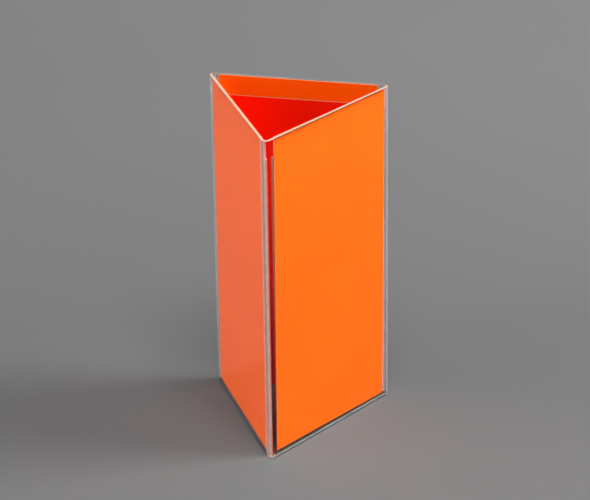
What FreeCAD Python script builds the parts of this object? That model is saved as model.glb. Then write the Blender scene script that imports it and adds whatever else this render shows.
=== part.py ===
import FreeCAD, Part
import math
import os

# Open three-sided kaleidoscope that stands on a table.
# A clear sleeve with three rounded folds holds three orange cards and, inside them,
# a prism of three mirror strips joined along their long edges by clear hinge tapes.
# The prism is loose and slides lengthwise in the sleeve.
# Millimetres. +Z is up, the origin is under the middle of the bounding box, at the foot.
# The back wall is parallel to X and the front fold points to -Y.

# sleeve: one clear sheet folded into a closed triangle
sleeve_height = 199.6
sleeve_side = 108.5        # side of the outer triangle, measured to its sharp corners
sleeve_wall = 1.5
fold_radius = 3.0          # outer radius of each fold

# cards: one flat card against each sleeve wall
card_side_gap = 2.55       # between a card's side and the start of the fold, card centred
card_top_gap = 0.4         # rim of the sleeve down to the card
card_foot_gap = 3.0        # foot of the sleeve up to the card
card_thickness = 0.5
card_bedding = 0.02        # between sleeve wall and card

# mirror strips: one behind each card, standing on the same surface as the sleeve
strip_recess = 12.0        # rim of the sleeve down to the strips
strip_thickness = 1.0
strip_clearance = 0.3      # between card and strip, room to slide
strip_side_gap = 1.91      # between a strip's side and the nearest that it may come to the fold, centred
strip_shift_share = -0.95  # each strip's sideways shift towards the next one, as a share of that gap

# hinge tapes: across each gap between two strips, stuck to their backs
tape_thickness = 0.1
tape_fold_gap = 0.54       # inside of the sleeve's fold to the bend of the tape
tape_overlap = 5.0         # how far a tape runs onto each strip
tape_margin = 3.0          # bare strip below and above a tape

# the cards sit a little off centre on their walls, and one leans
# (wall turn in degrees, then sideways shift and lean as shares of card_side_gap)
card_seats = {
    "card_back": (0.0, -0.27, 0.0),
    "card_front_left": (120.0, 0.05, 0.0),
    "card_front_right": (240.0, -0.35, -0.37),
}
strip_turns = {
    "mirror_back": 0.0,
    "mirror_front_left": 120.0,
    "mirror_front_right": 240.0,
}
# each corner's direction from the tube's axis, in degrees
tape_corners = {
    "hinge_tape_front": -90.0,
    "hinge_tape_right": 30.0,
    "hinge_tape_left": 150.0,
}

z_axis = FreeCAD.Vector(0, 0, 1)
y_axis = FreeCAD.Vector(0, 1, 0)

half_corner = math.radians(30.0)
inradius = sleeve_side / (2.0 * math.sqrt(3.0))
circumradius = 2.0 * inradius
front_reach = circumradius - fold_radius      # axis to the outside of the front fold
axis_shift = FreeCAD.Vector(0, (front_reach - inradius) / 2.0, 0)

# depths count from the sleeve's outer face
card_depth = sleeve_wall + card_bedding
strip_depth = card_depth + card_thickness + strip_clearance
tape_depth = strip_depth - tape_thickness
tape_bend_radius = fold_radius + sleeve_wall + tape_fold_gap - 2.0 * tape_depth    # outer

wall_flat = sleeve_side - 2.0 * fold_radius / math.tan(half_corner)
card_width = wall_flat - 2.0 * card_side_gap
card_height = sleeve_height - card_foot_gap - card_top_gap
# a strip's end stays clear of the tape's bend and of the tape's other leg
bend_room = (tape_bend_radius - tape_thickness) / math.tan(half_corner)
end_room = strip_thickness * math.tan(half_corner)
strip_inset = strip_depth / math.tan(half_corner) + max(bend_room, end_room) + strip_side_gap
strip_width = sleeve_side - 2.0 * strip_inset
strip_height = sleeve_height - strip_recess


def corner_point(direction, distance):
    angle = math.radians(direction)
    return FreeCAD.Vector(distance * math.cos(angle), distance * math.sin(angle), 0)


def rounded_triangle(depth, radius):
    """Face of the triangle that lies depth inside the sleeve's outer one, round-cornered."""
    centre_distance = 2.0 * (inradius - depth) - radius / math.sin(half_corner)
    edges = []
    previous_end = None
    first_start = None
    for direction in (-90.0, 30.0, 150.0):
        centre = corner_point(direction, centre_distance)
        start = centre + corner_point(direction - 60.0, radius)
        middle = centre + corner_point(direction, radius)
        end = centre + corner_point(direction + 60.0, radius)
        if previous_end is None:
            first_start = start
        else:
            edges.append(Part.LineSegment(previous_end, start).toShape())
        edges.append(Part.Arc(start, middle, end).toShape())
        previous_end = end
    edges.append(Part.LineSegment(previous_end, first_start).toShape())
    return Part.Face(Part.Wire(edges))


def prism(face, foot, height):
    face.translate(FreeCAD.Vector(0, 0, foot))
    return face.extrude(FreeCAD.Vector(0, 0, height))


def in_place(shape):
    moved = shape.copy()
    moved.translate(axis_shift)
    return moved


def wall_panel(turn, width, thickness, depth, foot, height, shift=0.0, lean=0.0):
    """Flat panel along one wall. Its outer face is depth inside the sleeve's outside."""
    panel = Part.makeBox(width, thickness, height)
    panel.translate(FreeCAD.Vector(shift - width / 2.0, inradius - depth - thickness, foot))
    middle = FreeCAD.Vector(shift, inradius - depth, foot + height / 2.0)
    panel.rotate(middle, y_axis, lean)
    panel.rotate(FreeCAD.Vector(), z_axis, turn)
    return in_place(panel)


def make_sleeve():
    outside = prism(rounded_triangle(0.0, fold_radius), 0.0, sleeve_height)
    inside = prism(rounded_triangle(sleeve_wall, fold_radius - sleeve_wall), 0.0, sleeve_height)
    return in_place(outside.cut(inside))


def make_card(turn, shift_share, lean_share):
    shift = shift_share * card_side_gap
    lean = math.degrees(math.asin(2.0 * lean_share * card_side_gap / card_height))
    return wall_panel(turn, card_width, card_thickness, card_depth, card_foot_gap, card_height, shift, lean)


def make_strip(turn):
    shift = strip_shift_share * strip_side_gap
    return wall_panel(turn, strip_width, strip_thickness, strip_depth, 0.0, strip_height, shift)


def make_tape(direction):
    foot = tape_margin
    height = strip_height - 2.0 * tape_margin
    outside = prism(rounded_triangle(tape_depth, tape_bend_radius), foot, height)
    inside = prism(rounded_triangle(strip_depth, tape_bend_radius - tape_thickness), foot, height)
    # a drum around the sharp corner keeps only the stretch of tape near it
    drum = Part.makeCylinder(strip_inset + tape_overlap, height)
    drum.translate(corner_point(direction, circumradius) + FreeCAD.Vector(0, 0, foot))
    return in_place(outside.cut(inside).common(drum))


nodes = {"sleeve": make_sleeve()}
for name, (turn, shift_share, lean_share) in card_seats.items():
    nodes[name] = make_card(turn, shift_share, lean_share)
for name, turn in strip_turns.items():
    nodes[name] = make_strip(turn)
for name, direction in tape_corners.items():
    nodes[name] = make_tape(direction)

os.makedirs("parts", exist_ok=True)
for name, shape in nodes.items():
    solid = shape.Solids[0]
    box = solid.BoundBox
    print(name, round(solid.Volume), "mm3", round(box.XLength, 1), round(box.YLength, 1), round(box.ZLength, 1))
    solid.exportStep(os.path.join("parts", name + ".step"))
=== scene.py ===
import math
import bmesh
import bpy
from mathutils import Matrix, Vector


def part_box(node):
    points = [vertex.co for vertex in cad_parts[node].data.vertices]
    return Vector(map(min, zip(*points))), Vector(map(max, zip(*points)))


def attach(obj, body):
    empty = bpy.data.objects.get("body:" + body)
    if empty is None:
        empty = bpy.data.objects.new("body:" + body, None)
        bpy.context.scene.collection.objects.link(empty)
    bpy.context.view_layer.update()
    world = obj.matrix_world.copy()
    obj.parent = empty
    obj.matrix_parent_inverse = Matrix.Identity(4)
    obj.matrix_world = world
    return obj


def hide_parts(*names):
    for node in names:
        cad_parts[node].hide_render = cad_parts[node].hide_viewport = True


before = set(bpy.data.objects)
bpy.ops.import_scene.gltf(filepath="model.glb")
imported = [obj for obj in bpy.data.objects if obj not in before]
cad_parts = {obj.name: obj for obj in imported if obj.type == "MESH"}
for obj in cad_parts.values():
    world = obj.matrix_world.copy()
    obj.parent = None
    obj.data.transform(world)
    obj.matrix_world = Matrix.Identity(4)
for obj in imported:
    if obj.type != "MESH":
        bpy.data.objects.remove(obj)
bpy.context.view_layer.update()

mergeDistance = 1e-6           # corners closer than this are one corner
cutSlope = 0.3                 # a face that leans further up or down than this belongs to a cut edge


# shared tools for materials

def newMaterial(name):
    material = bpy.data.materials.new(name)
    material.use_nodes = True
    shader = material.node_tree.nodes["Principled BSDF"]
    return material, material.node_tree, shader


def addNode(tree, kind, **values):
    node = tree.nodes.new(kind)
    for name, value in values.items():
        if name in node.inputs:
            node.inputs[name].default_value = value
        else:
            setattr(node, name, value)
    return node


def setShader(shader, **values):
    for name, value in values.items():
        shader.inputs[name.replace("_", " ")].default_value = value


def objectNoise(tree, scale, detail=3.0, roughness=0.5, stretch=(1.0, 1.0, 1.0)):
    place = addNode(tree, "ShaderNodeTexCoord")
    mapping = addNode(tree, "ShaderNodeMapping", Scale=stretch)
    noise = addNode(tree, "ShaderNodeTexNoise", Scale=scale, Detail=detail, Roughness=roughness)
    tree.links.new(place.outputs["Object"], mapping.inputs["Vector"])
    tree.links.new(mapping.outputs["Vector"], noise.inputs["Vector"])
    return noise.outputs["Fac"]


# goes from one colour to the other over the middle of a pattern
def rampBetween(tree, factor, low, high):
    ramp = addNode(tree, "ShaderNodeValToRGB")
    ramp.color_ramp.interpolation = "EASE"
    for stop, position, colour in zip(ramp.color_ramp.elements, (0.3, 0.7), (low, high)):
        stop.position = position
        stop.color = (*colour, 1.0)
    tree.links.new(factor, ramp.inputs["Fac"])
    return ramp.outputs["Color"]


def mapRange(tree, factor, fromLow, fromHigh, toLow, toHigh):
    spread = addNode(tree, "ShaderNodeMapRange")
    spread.inputs["From Min"].default_value = fromLow
    spread.inputs["From Max"].default_value = fromHigh
    spread.inputs["To Min"].default_value = toLow
    spread.inputs["To Max"].default_value = toHigh
    tree.links.new(factor, spread.inputs["Value"])
    return spread


# spreads the middle half of a pattern over a range of values
def rangeBetween(tree, factor, low, high):
    spread = mapRange(tree, factor, 0.25, 0.75, low, high)
    spread.interpolation_type = "SMOOTHSTEP"
    return spread.outputs["Result"]


def darker(colour, share):
    return tuple(channel * share for channel in colour)


def addBump(tree, shader, height, strength, distance):
    bump = addNode(tree, "ShaderNodeBump", Strength=strength, Distance=distance)
    tree.links.new(height, bump.inputs["Height"])
    tree.links.new(bump.outputs["Normal"], shader.inputs["Normal"])


# lamps reach what stands behind a clear sheet, so the cards aren't left in its shadow
def letLampsThrough(tree, shader, tint):
    path = addNode(tree, "ShaderNodeLightPath")
    seeThrough = addNode(tree, "ShaderNodeBsdfTransparent", Color=(*tint, 1.0))
    mix = addNode(tree, "ShaderNodeMixShader")
    output = tree.nodes["Material Output"]
    tree.links.new(path.outputs["Is Shadow Ray"], mix.inputs["Fac"])
    tree.links.new(shader.outputs["BSDF"], mix.inputs[1])
    tree.links.new(seeThrough.outputs["BSDF"], mix.inputs[2])
    tree.links.new(mix.outputs["Shader"], output.inputs["Surface"])


# clear folded sleeve

sleeveSizes = {
    "wall": 0.0015,
    "foldRadius": 0.003,       # outside of each fold
    "foldSteps": 20,
    "edgeRound": 0.00022,      # on the cut rim and foot
    "edgeSteps": 3,
    "creaseReach": 0.0079,     # how far the front fold's painted light runs along the left wall
    "creaseEnd": 0.0002,       # and how far across it goes past the middle of the fold
    "paleFacing": 0.28,        # the right fold's painted highlight line: how far it faces forwards and how wide it is
    "paleSpread": 0.20,
    "rearFacing": 0.3,         # the back folds get painted light where they face backwards more than this
    "shadedRimFrom": 0.0022,     # painted shade: the back wall's rim is grey, this close to its outside
}

sleeveLook = {
    "tint": (0.965, 0.97, 0.968),
    "ior": 1.14,               # low, as for a thin sheet whose two faces nearly undo each other
    "roughness": (0.012, 0.05),
    "handlingScale": 90.0,     # size of the marks that make it rougher and smoother
    "rippleScale": 22.0,
    "rippleStrength": 0.25,
    "ripple": 0.00003,
    "lampTint": (0.94, 0.945, 0.943),    # what it leaves of the lamps' light
    # painted light: the pink-tinted milky skin stands in for the light that the bent sheet carries round
    # the front fold
    "creasePaintedLight": (0.98, 0.76, 0.71),
    "creaseClear": 0.76,       # share of light that still passes where the front fold has the painted light
    # painted highlight along the right fold, and painted light on the backward-facing parts of the back
    # folds
    "pale": (0.95, 0.94, 0.95),
    "paleClear": 0.70,         # and where the back folds have painted light
    # partly painted light: the cut edges are frosted white, and their peach tint stands in for the orange
    # cards' glow carried up through the sheet
    "edgeFrostAndGlow": (0.62, 0.46, 0.39),
    "edgePeachGlow": (0.62, 0.38, 0.28),
    # painted shade for the back wall's rim and the foot's down-facing cut edges
    "shadedEdgeGrey": (0.24, 0.232, 0.218),
    "shadedEdgeDull": (0.17, 0.16, 0.148),
    "patchScale": 55.0,
    "sawScale": 900.0,         # fine marks that cutting left on the edges
    "sawRoughness": (0.28, 0.5),
    "sawStrength": 0.3,
    "sawDepth": 0.00005,
}


def sheetMaterial(name, look, tint, clear):
    material, tree, shader = newMaterial(name)
    setShader(shader, Base_Color=(*tint, 1.0), Transmission_Weight=clear, IOR=look["ior"])
    handling = objectNoise(tree, look["handlingScale"], detail=5.0)
    tree.links.new(rangeBetween(tree, handling, *look["roughness"]), shader.inputs["Roughness"])
    ripple = objectNoise(tree, look["rippleScale"], detail=1.0, stretch=(1.0, 1.0, 0.35))
    addBump(tree, shader, ripple, look["rippleStrength"], look["ripple"])
    letLampsThrough(tree, shader, look["lampTint"])
    return material


def cutEdgeMaterial(name, look, dull, bright):
    material, tree, shader = newMaterial(name)
    patches = objectNoise(tree, look["patchScale"], detail=4.0)
    tree.links.new(rampBetween(tree, patches, dull, bright), shader.inputs["Base Color"])
    sawMarks = objectNoise(tree, look["sawScale"], detail=2.0, stretch=(1.0, 1.0, 0.2))
    tree.links.new(rangeBetween(tree, sawMarks, *look["sawRoughness"]), shader.inputs["Roughness"])
    addBump(tree, shader, sawMarks, look["sawStrength"], look["sawDepth"])
    return material


def newTree(name):
    tree = bpy.data.node_groups.new(name, "GeometryNodeTree")
    tree.interface.new_socket("Geometry", in_out="OUTPUT", socket_type="NodeSocketGeometry")
    return tree


def addInput(tree, name):
    return tree.interface.new_socket(name, in_out="INPUT", socket_type="NodeSocketFloat").identifier


# runs a node tree on an empty object and keeps the result as a plain mesh
def meshFromTree(name, tree, inputs):
    holder = bpy.data.objects.new(name + "Source", bpy.data.meshes.new(name + "Source"))
    bpy.context.collection.objects.link(holder)
    modifier = holder.modifiers.new("build", "NODES")
    modifier.node_group = tree
    for identifier, value in inputs.items():
        modifier[identifier] = value
    depsgraph = bpy.context.evaluated_depsgraph_get()
    mesh = bpy.data.meshes.new_from_object(holder.evaluated_get(depsgraph), depsgraph=depsgraph)
    mesh.name = name
    bpy.data.objects.remove(holder)
    piece = bpy.data.objects.new(name, mesh)
    bpy.context.collection.objects.link(piece)
    return piece


# a strip of rectangular section, stood upright and swept along a flat path
def sweepUpright(tree, path, groupIn, edgeSteps):
    links = tree.links
    upright = addNode(tree, "GeometryNodeSetCurveNormal", mode="Z_UP")
    section = addNode(tree, "GeometryNodeCurvePrimitiveQuadrilateral")
    softEdge = addNode(tree, "GeometryNodeFilletCurve", mode="POLY", Count=edgeSteps)
    sweep = addNode(tree, "GeometryNodeCurveToMesh")
    links.new(path, upright.inputs["Curve"])
    links.new(groupIn.outputs["Thickness"], section.inputs["Width"])
    links.new(groupIn.outputs["Height"], section.inputs["Height"])
    links.new(section.outputs["Curve"], softEdge.inputs["Curve"])
    links.new(groupIn.outputs["Edge Round"], softEdge.inputs["Radius"])
    links.new(upright.outputs["Curve"], sweep.inputs["Curve"])
    links.new(softEdge.outputs["Curve"], sweep.inputs["Profile Curve"])
    return sweep.outputs["Mesh"]


def sleeveTree(sheet, edge, sizes):
    tree = newTree("foldedSleeve")
    keys = {name: addInput(tree, name) for name in
            ("Corner Distance", "Bend Radius", "Thickness", "Height", "Edge Round", "Axis Y", "Middle Z")}
    links = tree.links
    groupIn = addNode(tree, "NodeGroupInput")
    groupOut = addNode(tree, "NodeGroupOutput")

    triangle = addNode(tree, "GeometryNodeCurvePrimitiveCircle", Resolution=3)
    turn = addNode(tree, "GeometryNodeTransform", Rotation=(0.0, 0.0, math.radians(-90.0)))
    folds = addNode(tree, "GeometryNodeFilletCurve", mode="POLY", Count=sizes["foldSteps"])
    links.new(groupIn.outputs["Corner Distance"], triangle.inputs["Radius"])
    links.new(triangle.outputs["Curve"], turn.inputs["Geometry"])
    links.new(turn.outputs["Geometry"], folds.inputs["Curve"])
    links.new(groupIn.outputs["Bend Radius"], folds.inputs["Radius"])
    swept = sweepUpright(tree, folds.outputs["Curve"], groupIn, sizes["edgeSteps"])

    place = addNode(tree, "ShaderNodeCombineXYZ")
    lift = addNode(tree, "GeometryNodeTransform")
    links.new(groupIn.outputs["Axis Y"], place.inputs["Y"])
    links.new(groupIn.outputs["Middle Z"], place.inputs["Z"])
    links.new(swept, lift.inputs["Geometry"])
    links.new(place.outputs["Vector"], lift.inputs["Translation"])

    # cut edges face up or down, walls face sideways
    normal = addNode(tree, "GeometryNodeInputNormal")
    parts = addNode(tree, "ShaderNodeSeparateXYZ")
    size = addNode(tree, "ShaderNodeMath", operation="ABSOLUTE")
    isCut = addNode(tree, "ShaderNodeMath", operation="GREATER_THAN")
    isCut.inputs[1].default_value = cutSlope
    wallSkin = addNode(tree, "GeometryNodeSetMaterial", Material=sheet)
    edgeSkin = addNode(tree, "GeometryNodeSetMaterial", Material=edge)
    smooth = addNode(tree, "GeometryNodeSetShadeSmooth")
    realize = addNode(tree, "GeometryNodeRealizeInstances")
    links.new(normal.outputs["Normal"], parts.inputs["Vector"])
    links.new(parts.outputs["Z"], size.inputs[0])
    links.new(size.outputs["Value"], isCut.inputs[0])
    links.new(lift.outputs["Geometry"], smooth.inputs["Geometry"])
    links.new(smooth.outputs["Geometry"], realize.inputs["Geometry"])
    links.new(realize.outputs["Geometry"], wallSkin.inputs["Geometry"])
    links.new(wallSkin.outputs["Geometry"], edgeSkin.inputs["Geometry"])
    links.new(isCut.outputs["Value"], edgeSkin.inputs["Selection"])
    links.new(edgeSkin.outputs["Geometry"], groupOut.inputs["Geometry"])
    return tree, keys


# merges doubles, turns faces outwards and lets the flat walls rule the shading
def finishShell(piece):
    work = bmesh.new()
    work.from_mesh(piece.data)
    bmesh.ops.remove_doubles(work, verts=work.verts, dist=mergeDistance)
    bmesh.ops.recalc_face_normals(work, faces=work.faces)
    work.to_mesh(piece.data)
    work.free()
    weights = piece.modifiers.new("flatWalls", "WEIGHTED_NORMAL")
    weights.mode = "FACE_AREA"
    weights.keep_sharp = True


sleeveLow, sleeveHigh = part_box("sleeve")
sleeveHeight = sleeveHigh[2] - sleeveLow[2]
sleeveSide = sleeveHigh[0] - sleeveLow[0] + 2.0 * sleeveSizes["foldRadius"] * (math.sqrt(3.0) - 1.0)
inradius = sleeveSide / (2.0 * math.sqrt(3.0))
axisY = sleeveHigh[1] - inradius


# gives the front fold's painted light, the back folds' painted light and painted highlight line, and the
# painted shade on the straight parts of the foot and on the back wall's rim their own skins
def skinSleeve(piece, sizes, crease, pale, foot):
    mesh = piece.data
    creaseSlot = len(mesh.materials)
    paleSlot = creaseSlot + 1
    shadedEdgeSlot = creaseSlot + 2
    for material in (crease, pale, foot):
        mesh.materials.append(material)
    axis = Vector((0.0, axisY, 0.0))
    corners = [axis + Matrix.Rotation(math.radians(turn), 3, "Z") @ Vector((0.0, -2.0 * inradius, 0.0))
               for turn in (0.0, 120.0, 240.0)]
    front = corners[0]
    alongLeftWall = (corners[2] - front).normalized()
    backRim = sleeveHigh[1] - sizes["shadedRimFrom"]
    work = bmesh.new()
    work.from_mesh(mesh)
    geometry = set()
    for face in work.faces:
        if face.calc_center_median().x < 0.0:
            geometry.add(face)
            geometry.update(face.edges)
            geometry.update(face.verts)
    bmesh.ops.bisect_plane(work, geom=list(geometry), dist=mergeDistance, plane_no=alongLeftWall,
                           plane_co=front + alongLeftWall * sizes["creaseReach"])
    for face in work.faces:
        middle = face.calc_center_median()
        flat = Vector((middle.x, middle.y, 0.0))
        isWall = abs(face.normal.z) < cutSlope
        nearFold = min((flat - corner).length for corner in corners) < sizes["creaseReach"]
        isRear = face.normal.y > sizes["rearFacing"] and face.normal.dot(flat - axis) > 0.0
        isLine = middle.x > 0.0 and abs(face.normal.y + sizes["paleFacing"]) < sizes["paleSpread"]
        # painted light on the front fold
        if isWall and middle.x < sizes["creaseEnd"] and (flat - front).length < sizes["creaseReach"]:
            face.material_index = creaseSlot
        # painted highlight and painted light on the back folds
        elif isWall and nearFold and (isRear or isLine):
            face.material_index = paleSlot
        # painted shade: the back wall's rim and the foot's straight down-facing edges get the grey skin
        elif not isWall and (middle.y > backRim or (face.normal.z < 0.0 and not nearFold)):
            face.material_index = shadedEdgeSlot
    work.to_mesh(mesh)
    work.free()


def makeSleeve(sizes, look):
    sheet = sheetMaterial("clearSheet", look, look["tint"], 1.0)
    crease = sheetMaterial("frontFoldPaintedLight", look, look["creasePaintedLight"], look["creaseClear"])
    pale = sheetMaterial("backFoldPaintedLight", look, look["pale"], look["paleClear"])
    # frosted cut edges with a painted glow tint
    edge = cutEdgeMaterial("cutEdge", look, look["edgePeachGlow"], look["edgeFrostAndGlow"])
    foot = cutEdgeMaterial("shadedCutEdge", look, look["shadedEdgeDull"], look["shadedEdgeGrey"])
    tree, keys = sleeveTree(sheet, edge, sizes)
    half = sizes["wall"] / 2.0
    piece = meshFromTree("clearSleeve", tree, {
        keys["Corner Distance"]: 2.0 * (inradius - half),
        keys["Bend Radius"]: sizes["foldRadius"] - half,
        keys["Thickness"]: sizes["wall"],
        keys["Height"]: sleeveHeight,
        keys["Edge Round"]: sizes["edgeRound"],
        keys["Axis Y"]: axisY,
        keys["Middle Z"]: (sleeveLow[2] + sleeveHigh[2]) / 2.0,
    })
    finishShell(piece)
    skinSleeve(piece, sizes, crease, pale, foot)
    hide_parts("sleeve")
    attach(piece, "sleeve_with_cards")


makeSleeve(sleeveSizes, sleeveLook)
print("sleeve: side", round(sleeveSide * 1000, 1), "mm, height", round(sleeveHeight * 1000, 1), "mm")


# flat panels: a panel is its design solid with softened edges, and its inner face, outer face and cut edges
# have a material each

flatAngle = math.radians(2.0)
edgeFaceShare = 0.5            # a cut edge's face is less than this share of the widest one


def panelFrom(node, name, edgeRound, inner, outer, edge):
    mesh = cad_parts[node].data.copy()
    mesh.name = name
    mesh.materials.clear()
    for material in (inner, outer, edge):
        mesh.materials.append(material)
    work = bmesh.new()
    work.from_mesh(mesh)
    bmesh.ops.remove_doubles(work, verts=work.verts, dist=mergeDistance)
    bmesh.ops.dissolve_limit(work, angle_limit=flatAngle, verts=work.verts, edges=work.edges)
    bmesh.ops.bevel(work, geom=work.edges[:], offset=edgeRound, segments=2, profile=0.5, affect="EDGES")
    bmesh.ops.recalc_face_normals(work, faces=work.faces)
    widest = max(face.calc_area() for face in work.faces)
    for face in work.faces:
        face.smooth = False
        outwards = face.calc_center_median() - Vector((0.0, axisY, 0.0))
        if face.calc_area() < widest * edgeFaceShare:
            face.material_index = 2
        elif face.normal.dot(Vector((outwards.x, outwards.y, 0.0))) < 0.0:
            face.material_index = 0
        else:
            face.material_index = 1
    work.to_mesh(mesh)
    work.free()
    piece = bpy.data.objects.new(name, mesh)
    bpy.context.collection.objects.link(piece)
    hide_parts(node)
    return piece


cardLook = {
    "colour": (0.96, 0.121, 0.001),
    # painted shade: the inner faces are a touch darker than the outer ones, as the inside of the tube lies
    # in shade
    "colourDeep": (0.94, 0.113, 0.001),
    "inside": (0.95, 0.118, 0.001),
    "insideDeep": (0.93, 0.108, 0.001),
    "edge": (0.98, 0.36, 0.14),
    "edgeRound": 0.00006,
    "roughness": (0.42, 0.55),
    "gloss": 0.06,
    "cloudScale": 14.0,        # slow changes of colour
    "fibreScale": 1400.0,
    "fibreDepth": 0.00002,
    "fibreStrength": 0.35,
    "edgeFibreScale": 1100.0,
    "edgeFibreStrength": 0.5,
    "edgeRoughness": 0.7,
}


def cardMaterial(name, look, colour, deep):
    material, tree, shader = newMaterial(name)
    clouds = objectNoise(tree, look["cloudScale"], detail=4.0)
    tree.links.new(rampBetween(tree, clouds, deep, colour), shader.inputs["Base Color"])
    fibres = objectNoise(tree, look["fibreScale"], detail=4.0, roughness=0.7, stretch=(1.0, 1.0, 0.4))
    tree.links.new(rangeBetween(tree, fibres, *look["roughness"]), shader.inputs["Roughness"])
    addBump(tree, shader, fibres, look["fibreStrength"], look["fibreDepth"])
    setShader(shader, Specular_IOR_Level=look["gloss"])
    return material


def cardEdgeMaterial(look):
    material, tree, shader = newMaterial("cardEdge")
    fibres = objectNoise(tree, look["edgeFibreScale"], detail=3.0)
    tree.links.new(rampBetween(tree, fibres, look["colour"], look["edge"]), shader.inputs["Base Color"])
    setShader(shader, Roughness=look["edgeRoughness"])
    addBump(tree, shader, fibres, look["edgeFibreStrength"], look["fibreDepth"])
    return material


cardOutside = cardMaterial("orangeCard", cardLook, cardLook["colour"], cardLook["colourDeep"])
cardInsideShaded = cardMaterial("orangeCardInsideShaded", cardLook, cardLook["inside"], cardLook["insideDeep"])
cardEdge = cardEdgeMaterial(cardLook)
for node in ("card_back", "card_front_left", "card_front_right"):
    card = panelFrom(node, node.replace("card", "orangeCard"), cardLook["edgeRound"],
                     cardInsideShaded, cardOutside, cardEdge)
    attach(card, "sleeve_with_cards")
print("cards: 3")


# mirror strips

stripLook = {
    "face": (0.98, 0.018, 0.001),
    "faceDeep": (0.96, 0.014, 0.001),
    "metallic": 0.30,
    "coat": 0.4,
    "coatRoughness": 0.12,
    "streakScale": 30.0,
    "roughness": (0.25, 0.29),
    "hazeScale": 12.0,
    "back": (0.34, 0.265, 0.255),
    "backDarker": 0.9,         # the grain's dark side, as a share of the colour
    "backRoughness": 0.55,
    "grainScale": 700.0,
    "footEnd": (0.20, 0.195, 0.18),
    # painted shadow of the narrow gap at the foot
    "footPaintedShadow": (0.05, 0.033, 0.024),
    "footBands": (0.0004, 0.0008, 0.0026, 0.0032),    # heights where the foot's colours change
    "edge": (0.52, 0.15, 0.075),
    "edgeDarker": 0.86,
    "edgeRoughness": 0.35,
    "edgeRound": 0.00012,
    "sawScale": 800.0,
}


def mirrorFaceMaterial(look):
    material, tree, shader = newMaterial("mirrorFace")
    setShader(shader, Metallic=look["metallic"], Coat_Weight=look["coat"],
              Coat_Roughness=look["coatRoughness"])
    streaks = objectNoise(tree, look["streakScale"], detail=3.0, stretch=(1.0, 1.0, 0.15))
    tree.links.new(rampBetween(tree, streaks, look["faceDeep"], look["face"]), shader.inputs["Base Color"])
    haze = objectNoise(tree, look["hazeScale"], detail=0.0)
    tree.links.new(rangeBetween(tree, haze, *look["roughness"]), shader.inputs["Roughness"])
    return material


def stripBackMaterial(look):
    material, tree, shader = newMaterial("stripBack")
    grain = objectNoise(tree, look["grainScale"], detail=3.0)
    plain = rampBetween(tree, grain, darker(look["back"], look["backDarker"]), look["back"])

    # painted shadow: the foot of each strip is coloured in bands, dark brown where the narrow gap at the
    # foot lies in shade, grey at the very bottom
    place = addNode(tree, "ShaderNodeTexCoord")
    parts = addNode(tree, "ShaderNodeSeparateXYZ")
    reach = look["footBands"][-1]
    height = addNode(tree, "ShaderNodeMath", operation="DIVIDE")
    height.inputs[1].default_value = reach
    paintedShadeBands = addNode(tree, "ShaderNodeValToRGB")
    bands = paintedShadeBands.color_ramp.elements
    colours = (look["footEnd"], look["footPaintedShadow"], look["footPaintedShadow"])
    for band, colour in zip(look["footBands"], colours):
        stop = bands.new(band / reach)
        stop.color = (*colour, 1.0)
    bands[0].color = (*look["footEnd"], 1.0)
    bands[-1].color = (1.0, 1.0, 1.0, 1.0)
    above = addNode(tree, "ShaderNodeMath", operation="GREATER_THAN")
    above.inputs[1].default_value = reach
    choose = addNode(tree, "ShaderNodeMix", data_type="RGBA")
    tree.links.new(place.outputs["Object"], parts.inputs["Vector"])
    tree.links.new(parts.outputs["Z"], height.inputs[0])
    tree.links.new(height.outputs["Value"], paintedShadeBands.inputs["Fac"])
    tree.links.new(parts.outputs["Z"], above.inputs[0])
    tree.links.new(above.outputs["Value"], choose.inputs["Factor"])
    tree.links.new(paintedShadeBands.outputs["Color"], choose.inputs["A"])
    tree.links.new(plain, choose.inputs["B"])
    tree.links.new(choose.outputs["Result"], shader.inputs["Base Color"])
    setShader(shader, Roughness=look["backRoughness"])
    return material


def stripEdgeMaterial(look):
    material, tree, shader = newMaterial("stripEdge")
    sawMarks = objectNoise(tree, look["sawScale"], detail=2.0)
    colour = rampBetween(tree, sawMarks, darker(look["edge"], look["edgeDarker"]), look["edge"])
    tree.links.new(colour, shader.inputs["Base Color"])
    setShader(shader, Roughness=look["edgeRoughness"])
    return material


mirrorFace = mirrorFaceMaterial(stripLook)
stripBack = stripBackMaterial(stripLook)
stripEdge = stripEdgeMaterial(stripLook)
for node in ("mirror_back", "mirror_front_left", "mirror_front_right"):
    strip = panelFrom(node, node.replace("mirror", "mirrorStrip"), stripLook["edgeRound"],
                      mirrorFace, stripBack, stripEdge)
    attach(strip, "mirror_prism")
print("mirror strips: 3")


# hinge tapes: design solids with a smooth bend

tapeLook = {
    "tint": (0.955, 0.95, 0.94),
    "ior": 1.06,
    "roughness": (0.02, 0.05),
    "hazeScale": 420.0,
    "skinGap": 0.000015,       # keeps both faces of a tape just off what they lie on
    "sharpAngle": math.radians(35.0),
}


def tapeMaterial(look):
    material, tree, shader = newMaterial("clearTape")
    setShader(shader, Base_Color=(*look["tint"], 1.0), Transmission_Weight=1.0, IOR=look["ior"])
    haze = objectNoise(tree, look["hazeScale"], detail=3.0)
    tree.links.new(rangeBetween(tree, haze, *look["roughness"]), shader.inputs["Roughness"])
    letLampsThrough(tree, shader, look["tint"])
    return material


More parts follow.
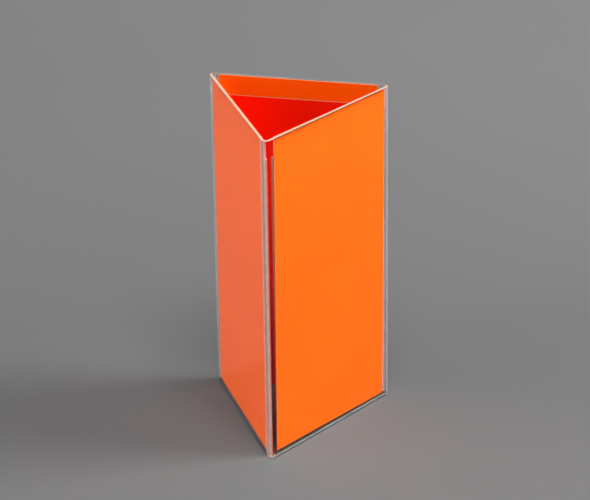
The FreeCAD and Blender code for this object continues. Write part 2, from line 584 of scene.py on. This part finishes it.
def makeTape(node, name, look, film):
    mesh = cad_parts[node].data.copy()
    mesh.name = name
    mesh.materials.clear()
    mesh.materials.append(film)
    work = bmesh.new()
    work.from_mesh(mesh)
    bmesh.ops.remove_doubles(work, verts=work.verts, dist=mergeDistance)
    bmesh.ops.recalc_face_normals(work, faces=work.faces)
    work.normal_update()
    for vertex in work.verts:
        vertex.co -= vertex.normal * look["skinGap"]
    for face in work.faces:
        face.smooth = True
    for edge in work.edges:
        edge.smooth = len(edge.link_faces) == 2 and edge.calc_face_angle() < look["sharpAngle"]
    work.to_mesh(mesh)
    work.free()
    piece = bpy.data.objects.new(name, mesh)
    bpy.context.collection.objects.link(piece)
    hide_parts(node)
    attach(piece, "mirror_prism")


tapeFilm = tapeMaterial(tapeLook)
for place in ("front", "left", "right"):
    makeTape("hinge_tape_" + place, "hingeTape_" + place, tapeLook, tapeFilm)
print("hinge tapes: 3")


# floor and backdrop

stageLook = {
    "colour": (0.130, 0.132, 0.136),
    "colourDarker": 0.97,      # the clouds' dark side, as a share of the colour
    "cloudScale": 3.0,
    "roughness": 0.85,
    "paintedLightGain": 1.72,              # painted light: how much paler the paper's colour is made at the back, and where it turns
    "paintedLightFrom": 0.12,
    "paintedLightTo": 0.70,
    "width": 6.0,
    "front": -4.0,             # towards the camera
    "back": 2.2,
    "rise": 3.0,
    "bendRadius": 1.0,
    "bendSteps": 24,
}


# plain paper with painted light: its colour gets paler towards the back of the sweep, standing in for
# brighter light there
def paperMaterial(look, backwards):
    material, tree, shader = newMaterial("studioPaper")
    clouds = objectNoise(tree, look["cloudScale"], detail=2.0)
    paper = rampBetween(tree, clouds, darker(look["colour"], look["colourDarker"]), look["colour"])
    coords = addNode(tree, "ShaderNodeTexCoord")
    depth = addNode(tree, "ShaderNodeVectorMath", operation="DOT_PRODUCT")
    depth.inputs[1].default_value = backwards
    paintedLightGain = mapRange(tree, depth.outputs["Value"], look["paintedLightFrom"], look["paintedLightTo"], 1.0, look["paintedLightGain"])
    lift = addNode(tree, "ShaderNodeVectorMath", operation="SCALE")
    tree.links.new(coords.outputs["Object"], depth.inputs[0])
    tree.links.new(paintedLightGain.outputs["Result"], lift.inputs["Scale"])
    tree.links.new(paper, lift.inputs[0])
    tree.links.new(lift.outputs["Vector"], shader.inputs["Base Color"])
    setShader(shader, Roughness=look["roughness"])
    return material


def makeStage(look, turn):
    profile = [(look["front"], 0.0)]
    for step in range(look["bendSteps"] + 1):
        angle = math.radians(90.0) * step / look["bendSteps"]
        profile.append((look["back"] - look["bendRadius"] * (1.0 - math.sin(angle)),
                        look["bendRadius"] * (1.0 - math.cos(angle))))
    profile.append((look["back"], look["rise"]))
    turning = Matrix.Rotation(turn, 3, "Z")
    mesh = bpy.data.meshes.new("studioSweep")
    work = bmesh.new()
    rows = []
    for along, up in profile:
        rows.append([work.verts.new((side * look["width"] / 2.0, along, up)) for side in (-1.0, 1.0)])
    for near, far in zip(rows, rows[1:]):
        work.faces.new((near[0], near[1], far[1], far[0]))
    bmesh.ops.rotate(work, verts=work.verts, cent=(0.0, 0.0, 0.0), matrix=turning)
    for face in work.faces:
        face.smooth = True
    work.to_mesh(mesh)
    work.free()
    mesh.materials.append(paperMaterial(look, turning @ Vector((0.0, 1.0, 0.0))))
    sweep = bpy.data.objects.new("studioSweep", mesh)
    bpy.context.collection.objects.link(sweep)


# camera: aim point and turn about the tube's axis

cameraView = {
    "azimuth": math.radians(12.4),
    "elevation": math.radians(26.1),
    "roll": math.radians(-0.88),
    "distance": 1.5917,
    "lens": 168.0,
    "clipEnd": 50.0,
    "aimAcross": 0.0027,       # from the tube's axis, to the camera's right
    "aimAbove": 0.0051,        # from half height
}


def makeCamera(view):
    azimuth = view["azimuth"]
    elevation = view["elevation"]
    forward = Vector((-math.sin(azimuth) * math.cos(elevation), math.cos(azimuth) * math.cos(elevation),
                      -math.sin(elevation)))
    right = Vector((math.cos(azimuth), math.sin(azimuth), 0.0))
    up = right.cross(forward)
    across = right * math.cos(view["roll"]) + up * math.sin(view["roll"])
    upwards = up * math.cos(view["roll"]) - right * math.sin(view["roll"])
    aim = Vector((0.0, axisY, sleeveLow[2] + sleeveHeight / 2.0 + view["aimAbove"]))
    aim += right * view["aimAcross"]
    place = Matrix((across, upwards, -forward)).transposed().to_4x4()
    place.translation = aim - forward * view["distance"]
    camera = bpy.data.objects.new("studioCamera", bpy.data.cameras.new("studioCamera"))
    camera.data.lens = view["lens"]
    camera.data.clip_end = view["clipEnd"]
    camera.matrix_world = place
    bpy.context.collection.objects.link(camera)
    bpy.context.scene.camera = camera


makeStage(stageLook, cameraView["azimuth"])
makeCamera(cameraView)


# lamps: direction is round from the camera's line of sight, height above the floor

lamps = {
    "key": {"side": 88.0, "height": 42.0, "distance": 1.8, "size": 0.7, "power": 29.5,
            "colour": (1.0, 0.98, 0.95)},
    "fill": {"side": -76.0, "height": 14.0, "distance": 1.5, "size": 0.9, "power": 11.0,
             "colour": (1.0, 0.99, 0.98)},
    "top": {"side": 14.0, "height": 68.0, "distance": 1.7, "size": 0.7, "power": 26.0,
            "colour": (1.0, 0.99, 0.98)},
}
worldGlow = {
    "colour": (0.97, 0.98, 1.0),
    "strength": 0.13,
}
lightBounces = {
    "max_bounces": 32,         # light passes many clear faces one behind the other
    "diffuse_bounces": 10,
    "glossy_bounces": 10,
    "transmission_bounces": 24,
    "transparent_max_bounces": 24,
}


def makeLamp(name, lamp):
    light = bpy.data.lights.new(name, "AREA")
    light.shape = "SQUARE"
    light.size = lamp["size"]
    light.energy = lamp["power"]
    light.color = lamp["colour"]
    around = cameraView["azimuth"] + math.radians(lamp["side"])
    rise = math.radians(lamp["height"])
    outwards = Vector((math.sin(around) * math.cos(rise), -math.cos(around) * math.cos(rise),
                       math.sin(rise)))
    target = Vector((0.0, axisY, sleeveHeight / 2.0))
    piece = bpy.data.objects.new(name, light)
    piece.location = target + outwards * lamp["distance"]
    piece.rotation_euler = outwards.to_track_quat("Z", "Y").to_euler()
    bpy.context.collection.objects.link(piece)


for name, lamp in lamps.items():
    makeLamp(name + "Lamp", lamp)

world = bpy.data.worlds.new("studioGlow")
world.use_nodes = True
glow = world.node_tree.nodes["Background"]
glow.inputs["Color"].default_value = (*worldGlow["colour"], 1.0)
glow.inputs["Strength"].default_value = worldGlow["strength"]
bpy.context.scene.world = world

scene = bpy.context.scene
scene.view_settings.view_transform = "Standard"
for kind, most in lightBounces.items():
    setattr(scene.cycles, kind, most)
print("stage, camera and", len(lamps), "lamps")
